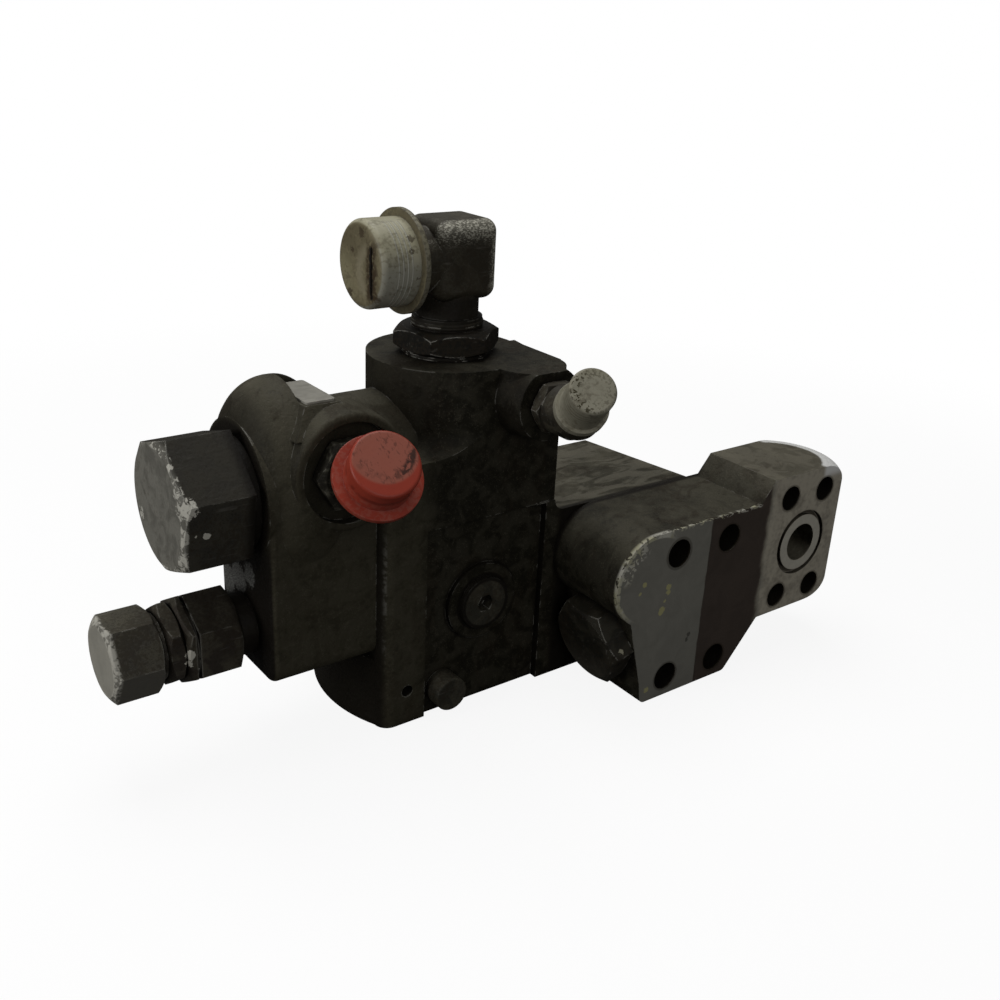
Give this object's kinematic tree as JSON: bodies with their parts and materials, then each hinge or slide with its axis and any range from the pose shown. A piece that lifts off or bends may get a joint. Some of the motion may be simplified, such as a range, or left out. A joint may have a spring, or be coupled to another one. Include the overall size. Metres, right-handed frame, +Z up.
{
  "type": "hose rupture valve",
  "caption": "Cast valve block with spring poppet, relief cartridge, elbow fittings and a side flange block; closes when a hydraulic hose bursts.",
  "frame": {"origin": "where the axis of the top port meets the base plane", "axes": "+X to the pipe flange, -Y to the front with the two flange faces, +Z up"},
  "size_m": [0.3883, 0.1401, 0.24],
  "materials": {
    "dark_casting": "dark painted casting, worn at the edges",
    "grey_casting": "grey painted casting with a machined pad",
    "plate_metal": "bare plate, dull",
    "painted_steel": "painted steel, worn at the corners",
    "bright_steel": "ground and hardened",
    "spring_steel": "drawn wire",
    "black_steel": "black oxide",
    "seal_rubber": "smooth",
    "milky_plastic": "moulded, stained",
    "red_plastic": "moulded, faded"
  },
  "bodies": {
    "valve": {"main_housing": "dark_casting", "type_plate": "plate_metal", "flange_block": "grey_casting", "flange_seal": "seal_rubber", "flange_screws": "black_steel", "main_plug": "painted_steel", "main_plug_seal": "seal_rubber", "main_seat": "bright_steel", "main_spring": "spring_steel", "relief_body": "painted_steel", "relief_seal": "seal_rubber", "relief_spring": "spring_steel", "relief_screw": "bright_steel", "relief_lock_nut": "painted_steel", "relief_cap": "painted_steel", "check_plug": "painted_steel", "check_plug_seal": "seal_rubber", "check_spring": "spring_steel", "stub_plug": "painted_steel", "cross_plug": "painted_steel", "cross_plug_seal": "seal_rubber", "top_elbow": "painted_steel", "top_washer": "painted_steel", "top_lock_nut": "painted_steel", "top_seal": "seal_rubber", "drain_elbow": "painted_steel", "drain_lock_nut": "painted_steel", "drain_seal": "seal_rubber", "pilot_elbow": "painted_steel", "pilot_lock_nut": "painted_steel", "pilot_seal": "seal_rubber"},
    "main_poppet_body": {"main_poppet": "bright_steel"},
    "pilot_piston_body": {"pilot_piston": "bright_steel"},
    "relief_poppet_body": {"relief_poppet": "bright_steel"},
    "check_ball_body": {"check_ball": "bright_steel"},
    "top_cap_body": {"top_cap": "milky_plastic"},
    "drain_cap_body": {"drain_cap": "red_plastic"},
    "pilot_cap_body": {"pilot_cap": "milky_plastic"}
  },
  "joints": [
    {"name": "main_poppet_slide", "type": "slide", "parent": "valve", "child": "main_poppet_body", "axis": [-1, 0, 0], "range_m": [0, 0.006], "stiffness_N_per_m": 8000, "springref_m": -0.008, "deforming": ["main_spring"]},
    {"name": "pilot_piston_slide", "type": "slide", "parent": "valve", "child": "pilot_piston_body", "axis": [-1, 0, 0], "range_m": [0, 0.006]},
    {"name": "relief_poppet_slide", "type": "slide", "parent": "valve", "child": "relief_poppet_body", "axis": [-1, 0, 0], "range_m": [0, 0.002], "stiffness_N_per_m": 40000, "springref_m": -0.003, "deforming": ["relief_spring"]},
    {"name": "check_ball_slide", "type": "slide", "parent": "valve", "child": "check_ball_body", "axis": [0, -1, 0], "range_m": [0, 0.0025], "stiffness_N_per_m": 500, "springref_m": -0.003, "deforming": ["check_spring"]},
    {"name": "top_cap_slide", "type": "slide", "parent": "valve", "child": "top_cap_body", "axis": [-1, 0, 0], "range_m": [0, 0.035]},
    {"name": "drain_cap_slide", "type": "slide", "parent": "valve", "child": "drain_cap_body", "axis": [-0.1711, -0.7071, 0.6861], "range_m": [0, 0.025]},
    {"name": "pilot_cap_slide", "type": "slide", "parent": "valve", "child": "pilot_cap_body", "axis": [-0.3642, -0.7071, 0.6061], "range_m": [0, 0.025]}
  ],
  "couplings": [
    {"joint": "pilot_piston_slide", "follows": "main_poppet_slide", "ratio": 1}
  ]
}
